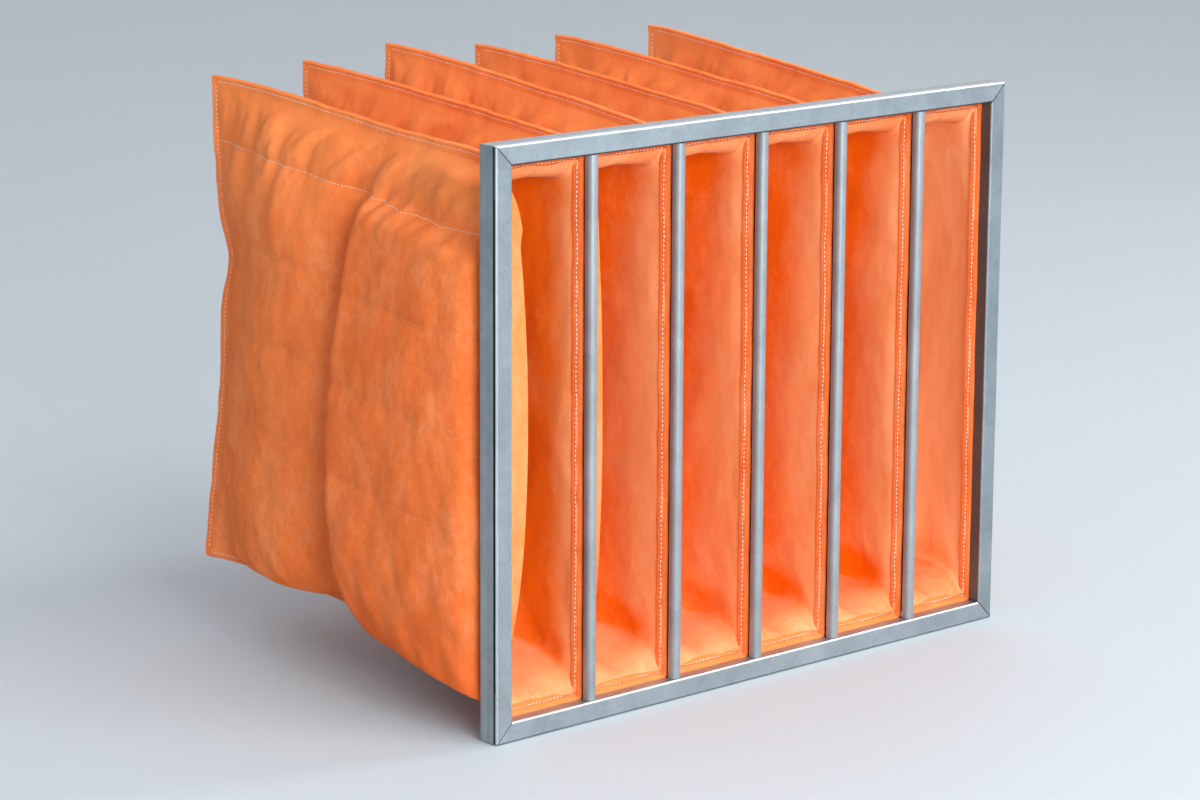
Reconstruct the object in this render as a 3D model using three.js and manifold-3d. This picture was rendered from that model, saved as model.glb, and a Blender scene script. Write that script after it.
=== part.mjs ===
// Bag air filter: a mitred sheet-steel header with separator bars and a row of sewn cloth pockets.
// Millimetres. X runs along the header, Y back through the pockets and Z up.
// The origin is on the floor, under the middle of the header's lower member.
import * as THREE from 'three';
import Module from 'manifold-3d';
import { mergeVertices } from 'three/addons/utils/BufferGeometryUtils.js';

const { smoothstep, lerp } = THREE.MathUtils;

// Header, seen from the front: overall size, and the folded channel that it is made of
const headerWidth = 592;
const headerHeight = 490;
const headerDepth = 20;
const flangeWidth = 17;
const returnDepth = 12;
const headerSheet = 0.9;
const headerBend = 1.6;
const clearance = 0.3;
const mitreGap = 0.22;

// Angles inside the header's corners, and the rivets through the two lower ones
const angleLeg = 42;
const angleWidth = 13;
const angleSheet = 1.5;
const angleFront = 2.5;
const rivetRadius = 1.1;
const rivetHeadRadius = 2.2;
const rivetHeadHeight = 0.8;
const rivetRound = 0.2;
const rivetSunk = 0.1;
const rivetHeight = 6.5;
const rivetSetback = 12;

// Clamp strips, which close the back of the channel over the hems
const stripThickness = 1;

// Separator bars, open at the back, with a rounded nose
const barSheet = 0.8;
const barSetback = 1.5;
const barNose = 3.5;
const barDepth = 8.5;

// Cloth: its thickness, the doubled hem round each mouth, and the flat seam round each pocket
const clothThickness = 2.2;
const hemThickness = 4.6;
const hemProud = 0.8;
const hemBack = 18;
const seamWidth = 9;
const seamStub = 0.4;
const hemStep = 0.1;
const pocketDepth = 440;

// Each pocket, from left to right. At its back end lean is how far it has swung sideways,
// sway how far its back seam bows over to the right, rise how far its top seam stands over the header,
// and lift how far its lower seam is off the floor.
// A belly swells a pocket's outer wall, and a tuck pushes its left wall in just behind the hem.
const pockets = [
  { lean: -7, sway: 24, rise: 7, lift: 67, leftBelly: 30, rightBelly: 0, tuck: 32 },
  { lean: -2, sway: 10, rise: 12, lift: 45, leftBelly: 0, rightBelly: 0, tuck: 16 },
  { lean: -2, sway: -8, rise: 20, lift: 30, leftBelly: 0, rightBelly: 0, tuck: 0 },
  { lean: 9, sway: 6, rise: 11, lift: 24, leftBelly: 0, rightBelly: 0, tuck: 0 },
  { lean: 13, sway: -9, rise: 12, lift: 24, leftBelly: 0, rightBelly: 0, tuck: 0 },
  { lean: 38, sway: -12, rise: 12, lift: 24, leftBelly: 0, rightBelly: 16, tuck: 0 },
];

// Pocket form, in shares of the way from the hem to the back seam. The roof dips and the floor climbs
// just behind the mouth, the section turns from square to oval, and the flat seam gains its full width.
const roofDip = 24;
const roofDipAt = 0.08;
const floorClimb = 6;
const floorClimbAt = 0.09;
const tuckAt = 0.0121;
const roundedBy = 0.12;
const seamFullBy = 0.15;
const leanPower = 1.3;
const taperPower = 1.7;
const ovalPower = 1.8;

// The outer belly of the first pocket: a front swelling, the upright fold behind it, and a lower
// swelling behind that. The last pocket's belly is one swelling, fullest where its power puts it.
const bellyFold = [0.43, 0.49];
const rearSwellingFrom = 0.3;
const rearSwellingShare = 0.55;
const lastBellyPower = 0.7;

// The bow of a back seam is half a plain arch and half a pinch at one height
const pinchHeight = 0.27;
const pinchSpread = 0.15;

// Spacer webs, sewn between the two walls of each pocket in level rows
const webRows = 4;
const webTop = 64;
const webPitch = 88;
const webThickness = 1.2;
const webGap = 0.6;

const barWidth = 2 * (barSheet + hemThickness + 2 * clearance);
const innerHalfWidth = headerWidth / 2 - flangeWidth;
const mouthPitch = (2 * innerHalfWidth + barWidth) / pockets.length;
const barX = (index) => -innerHalfWidth + mouthPitch * (index + 1) - barWidth / 2;
const mouthInset = flangeWidth + hemProud;
const hemFront = returnDepth + clearance;
const barHemFront = barSetback + barNose + clearance;
const stitchLine = pocketDepth - seamWidth;
const stripInner = mouthInset - clothThickness - seamStub - clearance;
const stripOuter = headerSheet + clearance;

// Facets of a small bend in sheet metal, of a bar's nose, and of a rivet and its hole
const bendSteps = 3;
const noseSteps = 7;
const rivetSides = 16;

const steel = new THREE.MeshStandardMaterial({ color: 0xa8b4bc, roughness: 0.42, metalness: 0.85 });
const barSteel = new THREE.MeshStandardMaterial({ color: 0xa3aeb5, roughness: 0.4, metalness: 0.85 });
const innerSteel = new THREE.MeshStandardMaterial({ color: 0x8b979e, roughness: 0.5, metalness: 0.8 });
const cloth = new THREE.MeshStandardMaterial({ color: 0xd8703c, roughness: 0.85, metalness: 0 });
const webCloth = new THREE.MeshStandardMaterial({ color: 0xf0a070, roughness: 0.9, metalness: 0 });

const wasm = await Module();
wasm.setup();

function addMesh(parent, name, geometry, material) {
  const mesh = new THREE.Mesh(geometry, material);
  mesh.name = name;
  parent.add(mesh);
  return mesh;
}

function toManifold(geometry) {
  const bare = geometry.clone();
  bare.deleteAttribute('normal');
  bare.deleteAttribute('uv');
  const merged = mergeVertices(bare, 1e-4);
  return new wasm.Manifold(new wasm.Mesh({
    numProp: 3,
    vertProperties: merged.attributes.position.array,
    triVerts: Uint32Array.from(merged.index.array),
  }));
}

function fromManifold(solid) {
  const mesh = solid.getMesh();
  const geometry = new THREE.BufferGeometry();
  geometry.setAttribute('position', new THREE.BufferAttribute(mesh.vertProperties, 3));
  geometry.setIndex(new THREE.BufferAttribute(mesh.triVerts, 1));
  return geometry;
}

// Turns a solid's faces outwards if its signed volume says they point in.
function facingOut(geometry) {
  const position = geometry.attributes.position;
  const index = geometry.index.array;
  const corner = [new THREE.Vector3(), new THREE.Vector3(), new THREE.Vector3()];
  let volume = 0;
  for (let i = 0; i < index.length; i += 3) {
    corner.forEach((point, k) => point.fromBufferAttribute(position, index[i + k]));
    volume += corner[0].dot(corner[1].cross(corner[2]));
  }
  if (volume < 0) {
    geometry.setIndex([...index].reverse());
  }
  return geometry;
}

// Joins rings of equally many points into a closed solid. Each ring goes out along one side of a thin section
// and back along the other, so its end is closed by a ladder of faces between the two sides.
function loft(rings) {
  const count = rings[0].length;
  const index = [];
  for (let r = 0; r + 1 < rings.length; r += 1) {
    for (let i = 0; i < count; i += 1) {
      const a = r * count + i;
      const b = r * count + ((i + 1) % count);
      index.push(a, b, b + count, a, b + count, a + count);
    }
  }
  const last = (rings.length - 1) * count;
  for (let i = 0; i + 1 < count / 2; i += 1) {
    const [a, b, c, d] = [i, i + 1, count - 2 - i, count - 1 - i];
    index.push(a, c, b, a, d, c);
    index.push(last + a, last + b, last + c, last + a, last + c, last + d);
  }
  const geometry = new THREE.BufferGeometry().setFromPoints(rings.flat());
  geometry.setIndex(index);
  return facingOut(geometry);
}

// A straight member of the header. Its section is drawn with x inwards from the header's edge and y back,
// and each end is cut on the mitre, so a point lies as far from the end as it does from the edge.
function mitredMember(section, length) {
  const settings = { depth: 1, bevelEnabled: false, curveSegments: bendSteps };
  const geometry = new THREE.ExtrudeGeometry(section, settings);
  const position = geometry.attributes.position;
  for (let i = 0; i < position.count; i += 1) {
    const reach = length / 2 - position.getX(i) - mitreGap;
    position.setZ(i, position.getZ(i) > 0.5 ? reach : -reach);
  }
  return geometry;
}

// Front flange, outer web and inner return, folded from one sheet.
function channelSection() {
  const outer = headerBend;
  const inner = headerBend - headerSheet;
  const shape = new THREE.Shape();
  shape.moveTo(0, headerDepth);
  shape.lineTo(0, outer);
  shape.absarc(outer, outer, outer, Math.PI, 1.5 * Math.PI, false);
  shape.lineTo(flangeWidth - outer, 0);
  shape.absarc(flangeWidth - outer, outer, outer, 1.5 * Math.PI, 2 * Math.PI, false);
  shape.lineTo(flangeWidth, returnDepth);
  shape.lineTo(flangeWidth - headerSheet, returnDepth);
  shape.lineTo(flangeWidth - headerSheet, outer);
  shape.absarc(flangeWidth - outer, outer, inner, 0, -0.5 * Math.PI, true);
  shape.lineTo(outer, headerSheet);
  shape.absarc(outer, outer, inner, 1.5 * Math.PI, Math.PI, true);
  shape.lineTo(headerSheet, headerDepth);
  return shape;
}

function stripSection() {
  const front = hemBack + clearance;
  const shape = new THREE.Shape();
  shape.moveTo(stripOuter, front);
  shape.lineTo(stripInner, front);
  shape.lineTo(stripInner, front + stripThickness);
  shape.lineTo(stripOuter, front + stripThickness);
  return shape;
}

// The four sides of the header, each turned about Y so that its section points inwards.
const sides = {
  left: { at: [-headerWidth / 2, headerHeight / 2], turn: 0, length: headerHeight },
  right: { at: [headerWidth / 2, headerHeight / 2], turn: Math.PI, length: headerHeight },
  bottom: { at: [0, 0], turn: -Math.PI / 2, length: headerWidth },
  top: { at: [0, headerHeight], turn: Math.PI / 2, length: headerWidth },
};

function rivetAxisOffset(side) {
  const towardsFloor = side === 'left' ? -1 : 1;
  return towardsFloor * (headerHeight / 2 - rivetHeight);
}

// Cuts a rivet's hole through a sheet, at one place and square to it.
function withRivetHole(geometry, square, at) {
  const radius = rivetRadius + clearance;
  const plug = new THREE.CylinderGeometry(radius, radius, rivetSetback, rivetSides);
  if (square === 'x') {
    plug.rotateZ(Math.PI / 2);
  } else {
    plug.rotateX(Math.PI / 2);
  }
  plug.translate(...at);
  return fromManifold(toManifold(geometry).subtract(toManifold(plug)));
}

function buildHeader(parent) {
  for (const [side, { at, turn, length }] of Object.entries(sides)) {
    const upright = length === headerHeight;
    let channel = mitredMember(channelSection(), length);
    if (upright) {
      channel = withRivetHole(channel, 'x', [0, rivetSetback, rivetAxisOffset(side)]);
    }
    const strip = mitredMember(stripSection(), length);
    for (const [name, geometry, material] of [[`header_${side}`, channel, steel],
      [`clamp_strip_${side}`, strip, innerSteel]]) {
      const mesh = addMesh(parent, name, geometry, material);
      mesh.position.set(at[0], 0, at[1]);
      mesh.rotation.y = turn;
    }
  }
}

// A bent angle lying against the webs in one corner. Its legs run along local +X and +Z.
function angleGeometry() {
  const bend = 2 * angleSheet;
  const shape = new THREE.Shape();
  shape.moveTo(0, 0);
  shape.lineTo(angleLeg, 0);
  shape.lineTo(angleLeg, angleSheet);
  shape.lineTo(bend, angleSheet);
  shape.absarc(bend, bend, angleSheet, 1.5 * Math.PI, Math.PI, true);
  shape.lineTo(angleSheet, angleLeg);
  shape.lineTo(0, angleLeg);
  const settings = { depth: angleWidth, bevelEnabled: false, curveSegments: bendSteps };
  const geometry = new THREE.ExtrudeGeometry(shape, settings);
  geometry.rotateX(Math.PI / 2);
  geometry.translate(0, angleFront + angleWidth, 0);
  return geometry;
}

function buildCorners(parent) {
  const seat = headerSheet + clearance;
  const corners = {
    lower_left: { x: -1, z: 0, turn: 0 },
    lower_right: { x: 1, z: 0, turn: -Math.PI / 2 },
    upper_left: { x: -1, z: 1, turn: Math.PI / 2 },
    upper_right: { x: 1, z: 1, turn: Math.PI },
  };
  for (const [name, corner] of Object.entries(corners)) {
    let geometry = angleGeometry();
    const lower = corner.z === 0;
    if (lower) {
      // the rivet goes through the leg that stands against the upright member
      const along = rivetHeight - seat;
      geometry = corner.x < 0
        ? withRivetHole(geometry, 'x', [0, rivetSetback, along])
        : withRivetHole(geometry, 'z', [along, rivetSetback, 0]);
    }
    const mesh = addMesh(parent, `corner_angle_${name}`, geometry, innerSteel);
    mesh.position.set(corner.x * (headerWidth / 2 - seat), 0, corner.z ? headerHeight - seat : seat);
    mesh.rotation.y = corner.turn;
    if (lower) {
      const side = corner.x < 0 ? 'left' : 'right';
      const rivet = addMesh(parent, `corner_rivet_${side}`, rivetGeometry(), innerSteel);
      rivet.position.set(corner.x * headerWidth / 2, rivetSetback, rivetHeight);
      rivet.rotation.z = corner.x < 0 ? -Math.PI / 2 : Math.PI / 2;
    }
  }
}

// A rivet turned about its axis. It starts just inside the web's outer face and ends in a head on the angle.
function rivetGeometry() {
  const seat = headerSheet + angleSheet + 2 * clearance;
  const profile = [
    [0, rivetSunk],
    [rivetRadius - rivetRound, rivetSunk],
    [rivetRadius, rivetSunk + rivetRound],
    [rivetRadius, seat],
    [rivetHeadRadius, seat],
    [rivetHeadRadius, seat + rivetHeadHeight / 2],
    [rivetHeadRadius / 2, seat + rivetHeadHeight],
    [0, seat + rivetHeadHeight],
  ].map(([radius, along]) => new THREE.Vector2(radius, along));
  return new THREE.LatheGeometry(profile, rivetSides);
}

// A separator bar: a U with an elliptical nose, standing between the lower and upper returns.
function barGeometry() {
  const outer = barWidth / 2;
  const inner = outer - barSheet;
  const noseCentre = barSetback + barNose;
  const back = barSetback + barDepth;
  const shape = new THREE.Shape();
  shape.moveTo(-outer, back);
  shape.lineTo(-outer, noseCentre);
  shape.absellipse(0, noseCentre, outer, barNose, Math.PI, 2 * Math.PI, false);
  shape.lineTo(outer, back);
  shape.lineTo(inner, back);
  shape.lineTo(inner, noseCentre);
  shape.absellipse(0, noseCentre, inner, barNose - barSheet, 2 * Math.PI, Math.PI, true);
  shape.lineTo(-inner, back);
  const length = headerHeight - 2 * (flangeWidth + clearance);
  return new THREE.ExtrudeGeometry(shape, { depth: length, bevelEnabled: false, curveSegments: noseSteps });
}

function buildBars(parent) {
  for (let index = 0; index + 1 < pockets.length; index += 1) {
    const mesh = addMesh(parent, `separator_bar_${index + 1}`, barGeometry(), barSteel);
    mesh.position.set(barX(index), 0, flangeWidth + clearance);
  }
}

// Rises from 0 to 1 at t = 1 and dies away again.
const swell = (t) => t * Math.exp(1 - t);

// Points down a pocket's section, from the top seam to the bottom seam. At the mouth the section is
// a rectangle, given by across and up, and further back it is a pointed oval, given by height.
// The webs follow rows of their own, and one more row keeps the same spacing below them.
const endRows = [
  { across: 0, up: 1, height: 1 },
  { across: 0.6, up: 1, height: 0.97 },
  { across: 1, up: 1, height: 0.93 },
  { across: 1, up: 0.98, height: 0.88 },
];
const webLevels = Array.from({ length: webRows + 1 }, (_, row) => {
  const fromMiddle = headerHeight / 2 - webTop - webPitch * row;
  return fromMiddle / (headerHeight / 2 - mouthInset);
});
const wallRows = [
  ...endRows,
  ...webLevels.map((level) => ({ across: 1, up: level, height: level })),
  ...endRows.map(({ across, up, height }) => ({ across, up: -up, height: -height })).reverse(),
];
const oval = (height) => (1 - Math.abs(height) ** ovalPower) ** (1 / ovalPower);

// Stations along a pocket, as shares of the way from the hem to the stitches of the back seam.
const stations = [tuckAt, 0.034, 0.0775, 0.174, 0.295, 0.416, 0.477, 0.634, 0.804, 1];
const webStations = stations.slice(4, -1);

// A pocket's inner surface, and the width of its flat seam, along the pocket.
function pocketForm(index) {
  const pocket = pockets[index];
  const last = pockets.length - 1;
  const leftX = index === 0 ? -innerHalfWidth + hemProud : barX(index - 1) + clearance + hemThickness;
  const rightX = index === last ? innerHalfWidth - hemProud : barX(index) - clearance - hemThickness;
  const mouthX = (leftX + rightX) / 2;
  const mouthHalf = (rightX - leftX) / 2 - clearance / 2;
  const rearTop = headerHeight + pocket.rise - seamWidth;
  const rearBottom = pocket.lift + seamWidth;

  const top = (s) => lerp(headerHeight - mouthInset, rearTop, s) - roofDip * swell(s / roofDipAt);
  const bottom = (s) => lerp(mouthInset, rearBottom, 1 - (1 - s) ** 2) + floorClimb * swell(s / floorClimbAt);
  const bow = (height) => ((1 - height ** 2) + Math.exp(-(((height - pinchHeight) / pinchSpread) ** 2))) / 2;
  const centreX = (s, height) => mouthX + pocket.lean * s ** leanPower + pocket.sway * bow(height) * s ** 3;
  const halfWidth = (s) => mouthHalf * (1 - s ** taperPower);
  const seam = (s) => lerp(clothThickness + seamStub, seamWidth, smoothstep(s, 0, seamFullBy));

  const leftSwelling = (s) => {
    const front = smoothstep(s, 0, roundedBy) * (1 - smoothstep(s, ...bellyFold));
    const behind = Math.max(0, (s - rearSwellingFrom) / (1 - rearSwellingFrom));
    return Math.max(front, rearSwellingShare * Math.sin(Math.PI * behind));
  };
  const rightSwelling = (s) => Math.sin(Math.PI * s ** lastBellyPower);
  const relief = (side, s, height) => {
    const belly = side < 0 ? pocket.leftBelly * leftSwelling(s) : pocket.rightBelly * rightSwelling(s);
    const tuck = side < 0 ? pocket.tuck * swell(s / tuckAt) ** 2 : 0;
    return belly * (1 - height ** 4) - tuck * (1 - Math.abs(height) ** 3);
  };

  // One point of the inner surface: side is -1 for the left wall and 1 for the right.
  const point = (side, s, row) => {
    const rounded = smoothstep(s, 0, roundedBy);
    const across = lerp(row.across, oval(row.height), rounded);
    const height = lerp(row.up, row.height, rounded);
    const out = clearance / 2 + halfWidth(s) * across + relief(side, s, height) * Math.sign(across);
    return new THREE.Vector3(
      centreX(s, height) + side * out,
      lerp(hemBack, stitchLine, s),
      lerp(bottom(s), top(s), (height + 1) / 2),
    );
  };
  return { index, point, seam };
}

// A column of points down a wall: seam edge, wall, seam edge.
function innerColumn(form, side, s) {
  const wall = wallRows.map((row) => form.point(side, s, row));
  const upper = wall[0].clone().setZ(wall[0].z + form.seam(s));
  const lower = wall.at(-1).clone().setZ(wall.at(-1).z - form.seam(s));
  return [upper, ...wall, lower];
}

// The square hem: the cloth is folded double outwards from the mouth's inner surface.
function hemOffset(row, side, thickness) {
  const sideways = row.across === 1 ? side * thickness : 0;
  const upright = Math.abs(row.up) === 1 ? Math.sign(row.up) * thickness : 0;
  return new THREE.Vector3(sideways, 0, upright);
}

// One cloth wall of a pocket, with its hem at the mouth and half of the flat seam on its other three edges.
function panelGeometry(form, side) {
  const atBar = side < 0 ? form.index > 0 : form.index < pockets.length - 1;
  const rows = [wallRows[0], ...wallRows, wallRows.at(-1)];
  const mouth = innerColumn(form, side, 0);
  const hemStub = hemThickness + seamStub;
  const mouthRing = (y, thickness, stub) => {
    const inner = mouth.map((point, r) => {
      const held = atBar && y === hemFront && Math.abs(rows[r].up) <= webLevels[0];
      return point.clone().setY(held ? barHemFront : y);
    });
    inner[0].z = inner[1].z + stub;
    inner.at(-1).z = inner.at(-2).z - stub;
    const outer = inner.map((point, r) => {
      const atSeam = r <= 1 || r >= rows.length - 2;
      const shift = hemOffset(rows[r], side, thickness);
      if (atSeam) shift.x = side * thickness;
      if (r === 0 || r === rows.length - 1) shift.z = 0;
      return point.clone().add(shift);
    });
    return { inner, outer };
  };
  const columns = [
    mouthRing(hemFront, hemThickness, hemStub),
    mouthRing(hemBack, hemThickness, hemStub),
    mouthRing(hemBack + hemStep, clothThickness, clothThickness + seamStub),
  ];

  const grid = stations.map((s) => innerColumn(form, side, s));
  const walled = [columns[2].inner, ...grid];
  grid.forEach((inner, c) => {
    const s = stations[c];
    const flat = clothThickness * (1 - smoothstep(s, 0, roundedBy));
    const outer = inner.map((point, r) => {
      const atSeam = r <= 1 || r >= rows.length - 2;
      if (atSeam || s === 1) {
        const shiftZ = r === 1 ? flat : r === rows.length - 2 ? -flat : 0;
        return point.clone().add(new THREE.Vector3(side * clothThickness, 0, shiftZ));
      }
      const along = walled[Math.min(c + 2, walled.length - 1)][r].clone().sub(walled[c][r]);
      const down = inner[r + 1].clone().sub(inner[r - 1]);
      const normal = along.cross(down).normalize().multiplyScalar(-side * clothThickness);
      return point.clone().add(normal);
    });
    columns.push({ inner, outer });
  });
  const edge = columns.at(-1);
  const back = (point) => point.clone().setY(point.y + seamWidth);
  columns.push({ inner: edge.inner.map(back), outer: edge.outer.map(back) });
  return loft(columns.map(({ inner, outer }) => [...inner, ...[...outer].reverse()]));
}

// A web between the two walls along one of their rows, narrowing with the pocket.
function webGeometry(form, row) {
  return loft(webStations.map((s) => {
    const left = form.point(-1, s, row);
    const right = form.point(1, s, row);
    left.x += webGap;
    right.x -= webGap;
    return [[left, -1], [right, -1], [right, 1], [left, 1]].map(([point, up]) => (
      point.clone().setZ(point.z + up * webThickness / 2)));
  }));
}

function buildPockets(parent) {
  pockets.forEach((pocket, index) => {
    const form = pocketForm(index);
    const group = new THREE.Group();
    addMesh(group, `pocket_${index + 1}_left_wall`, panelGeometry(form, -1), cloth);
    addMesh(group, `pocket_${index + 1}_right_wall`, panelGeometry(form, 1), cloth);
    for (let row = 0; row < webRows; row += 1) {
      const wallRow = wallRows[endRows.length + row];
      addMesh(group, `pocket_${index + 1}_web_${row + 1}`, webGeometry(form, wallRow), webCloth);
    }
    parent.add(group);
  });
}

const filter = new THREE.Group();
filter.name = 'bag_air_filter';
buildHeader(filter);
buildCorners(filter);
buildBars(filter);
buildPockets(filter);
filter.position.y = -headerDepth / 2;

export default filter;
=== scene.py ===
import math
import bpy
import numpy as np
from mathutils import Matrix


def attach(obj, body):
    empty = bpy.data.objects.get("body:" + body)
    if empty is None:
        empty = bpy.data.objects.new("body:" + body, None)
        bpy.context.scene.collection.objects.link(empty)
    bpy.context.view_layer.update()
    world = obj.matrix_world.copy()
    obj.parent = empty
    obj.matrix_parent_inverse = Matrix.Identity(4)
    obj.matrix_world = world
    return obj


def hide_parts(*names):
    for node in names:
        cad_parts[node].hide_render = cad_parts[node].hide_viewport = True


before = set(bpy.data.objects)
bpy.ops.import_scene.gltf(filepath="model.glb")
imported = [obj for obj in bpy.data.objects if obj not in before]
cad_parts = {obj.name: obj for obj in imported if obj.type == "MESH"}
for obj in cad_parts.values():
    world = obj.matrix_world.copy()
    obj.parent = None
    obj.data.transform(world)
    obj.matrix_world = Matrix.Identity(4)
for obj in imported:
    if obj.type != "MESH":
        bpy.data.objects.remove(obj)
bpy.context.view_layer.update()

scene = bpy.context.scene
mm = 0.001  # shapes are worked out in millimetres, with y from the header's front face
print("frame loaded")

header = dict(
    width=592,
    height=490,
    depth=20,
    flange=17,  # width of the folded front
    back=12,  # where the front's inner return ends
    sheet=0.9,
    bend=1.8,  # outer radius of the folds
    gap=0.6,  # how far a member's end stays from the mitre
    groove=dict(at=2.9, half=0.9, deep=2.4),  # rolled into the web, close to the front bend
    dip=dict(at=12.5, half=2.6, deep=0.5),  # a shallow wide one behind it
    wobble=0.14,
    stations=40,
)

# from left to right, as in the solids. lean sets the whole back seam to the right, sway its middle, and
# swing takes its foot to the left. ease tells how late the top seam climbs, rise how far above the header
# it ends, and lift how high the bottom seam ends. tuck is how far the left wall is drawn in behind its
# hem, crease how strongly the cloth is wrinkled, and bellies how far the left and the right wall swell
pockets = [
    dict(lean=-7, sway=22, swing=16, rise=7, ease=1.0, lift=67, tuck=46, crease=1.0, bellies=(30, 0)),
    dict(lean=-2, sway=14, swing=6, rise=12, ease=0.5, lift=45, tuck=22, crease=0.9, bellies=(0, 0)),
    dict(lean=-2, sway=-8, swing=-4, rise=20, ease=0.5, lift=30, tuck=0, crease=1.0, bellies=(0, 0)),
    dict(lean=9, sway=8, swing=3, rise=11, ease=0.5, lift=24, tuck=0, crease=0.8, bellies=(0, 0)),
    dict(lean=13, sway=-9, swing=-5, rise=12, ease=0.5, lift=24, tuck=0, crease=1.1, bellies=(0, 0)),
    dict(lean=38, sway=-12, swing=-6, rise=12, ease=0.5, lift=24, tuck=0, crease=1.0, bellies=(0, 16)),
]

cloth = dict(
    thickness=2.0,
    inset=17.8,  # the mouth's inner surface, in from the header's edge
    hemFront=12.4,
    hemBack=18,
    hemDepth=8.6,
    hemThickness=4.3,
    hemCorner=3.0,
    clearance=0.3,
    sideGap=0.8,  # between the header's web and the two outermost mouths
    seam=9,  # width of the flat seam
    stitches=431,  # where the back seam is sewn
    columns=132,  # grid lines from the hem to the back seam
    rows=168,  # grid lines from the top seam to the bottom seam
)
clothRun = cloth["stitches"] - cloth["hemBack"]
backEdge = cloth["stitches"] + cloth["seam"]
seamShares = [1, 0.94, 0.86, 0.76, 0.66, 0.52, 0.35, 0.17]  # grid lines across the top and bottom seam
seamLines = len(seamShares)
backSteps = [1.6, 3.2, 4.6, 5.8, 6.8, 7.8, 8.5, 9]  # grid lines across the back seam
frontSteps = [-2.5, -1.2]  # grid lines of a wall that are hidden in its hem

barHalf = 6  # half the gap that a bar takes between two mouths
innerHalf = header["width"] / 2 - header["flange"]
pitch = (2 * innerHalf + 2 * barHalf) / len(pockets)
barDrift = [0, 0.8, 2.0, 2.5, 1.5, 2.5, 0]  # how far each bar was set to the right of its even spacing
stitchedRows = [0.77, 0.39, 0.01, -0.37]  # heights, from 1 at the top seam to -1 at the bottom seam


# 3t^2 - 2t^3 between a and b
def smooth(t, a=0.0, b=1.0):
    t = np.clip((t - a) / (b - a), 0, 1)
    return t * t * (3 - 2 * t)


# t e^(1 - t): up to 1 at t = 1 and away again
def swell(t):
    return t * np.exp(1 - t)


# random values on a lattice, blended between its points with 6t^5 - 15t^4 + 10t^3
def field(x, y, seed):
    table = np.random.default_rng(seed).uniform(-1, 1, (61, 61))
    x, y = np.broadcast_arrays(np.asarray(x, float), np.asarray(y, float))
    i, j = np.floor(x).astype(int), np.floor(y).astype(int)
    u, v = x - i, y - j
    u = u * u * u * (u * (6 * u - 15) + 10)
    v = v * v * v * (v * (6 * v - 15) + 10)
    near = table[i % 61, j % 61] * (1 - u) + table[(i + 1) % 61, j % 61] * u
    far = table[i % 61, (j + 1) % 61] * (1 - u) + table[(i + 1) % 61, (j + 1) % 61] * u
    return near * (1 - v) + far * v


# a field folded at zero, so that it has sharp creases: 1 - 2.6 |field|
def creases(x, y, seed):
    return 1 - 2.6 * np.abs(field(x, y, seed))


# facets like those of crushed paper: the distance to the nearest of one random spot in each unit cell
def facets(x, y, seed):
    spots = np.random.default_rng(seed).uniform(0, 1, (2, 47, 47))
    x, y = np.broadcast_arrays(np.asarray(x, float), np.asarray(y, float))
    i, j = np.floor(x).astype(int), np.floor(y).astype(int)
    nearest = np.full(x.shape, 9.0)
    for a in (-1, 0, 1):
        for b in (-1, 0, 1):
            u = i + a + spots[0, (i + a) % 47, (j + b) % 47]
            v = j + b + spots[1, (i + a) % 47, (j + b) % 47]
            nearest = np.minimum(nearest, np.hypot(u - x, v - y))
    return 1 - 2 * nearest


# turns the faces over if the volume that they enclose comes out negative: the sum of a . (b x c)
def outward(points, faces):
    corner = [points[faces[:, k]] for k in range(faces.shape[1])]
    total = 0.0
    for k in range(1, faces.shape[1] - 1):
        total += np.einsum("ij,ij->i", corner[0], np.cross(corner[k], corner[k + 1])).sum()
    return faces if total > 0 else faces[:, ::-1]


# a piece on the body from points in millimetres and their faces; edges over the angle sharp stay sharp,
# and marks are values for each point that its material reads
def makePiece(name, points, faces, material, slotName, sharp=None, marks=None):
    points = np.asarray(points, float).reshape(-1, 3)
    faces = outward(points, np.asarray(faces, int))
    mesh = bpy.data.meshes.new(name)
    mesh.vertices.add(len(points))
    mesh.vertices.foreach_set("co", ((points - (0, header["depth"] / 2, 0)) * mm).ravel())
    mesh.loops.add(faces.size)
    mesh.loops.foreach_set("vertex_index", faces.ravel())
    mesh.polygons.add(len(faces))
    mesh.polygons.foreach_set("loop_start", np.arange(len(faces)) * faces.shape[1])
    mesh.update(calc_edges=True)
    mesh.polygons.foreach_set("use_smooth", np.ones(len(faces), bool))
    if sharp:
        mesh.set_sharp_from_angle(angle=math.radians(sharp))
    for word, values in (marks or {}).items():
        mesh.attributes.new(word, "FLOAT", "POINT").data.foreach_set("value", np.ravel(values))
    mesh.materials.append(material)
    piece = bpy.data.objects.new(name, mesh)
    scene.collection.objects.link(piece)
    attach(piece, "root")
    return piece


# faces of a grid of rows x columns points, closed round from its last column to its first if asked, and
# from its last row to its first
def gridFaces(rows, columns, closeRows=False, closeColumns=False):
    r = np.arange(rows if closeRows else rows - 1)[:, None]
    c = np.arange(columns if closeColumns else columns - 1)[None, :]
    a = r * columns + c
    b = r * columns + (c + 1) % columns
    d = ((r + 1) % rows) * columns + c
    e = ((r + 1) % rows) * columns + (c + 1) % columns
    return np.stack([a, b, e, d], -1).reshape(-1, 4)


# a closed skin round two equal grids: both faces, and a rim that joins their borders
def shell(inner, outer):
    rows, columns = inner.shape[:2]
    count = rows * columns
    number = np.arange(count).reshape(rows, columns)
    border = np.concatenate([number[0, :-1], number[:-1, -1], number[-1, :0:-1], number[:0:-1, 0]])
    following = np.roll(border, -1)
    rim = np.stack([border, following, following + count, border + count], -1)
    sheet = gridFaces(rows, columns)
    faces = np.concatenate([sheet[:, ::-1], sheet + count, rim])
    return np.concatenate([inner.reshape(-1, 3), outer.reshape(-1, 3)]), faces


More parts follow.
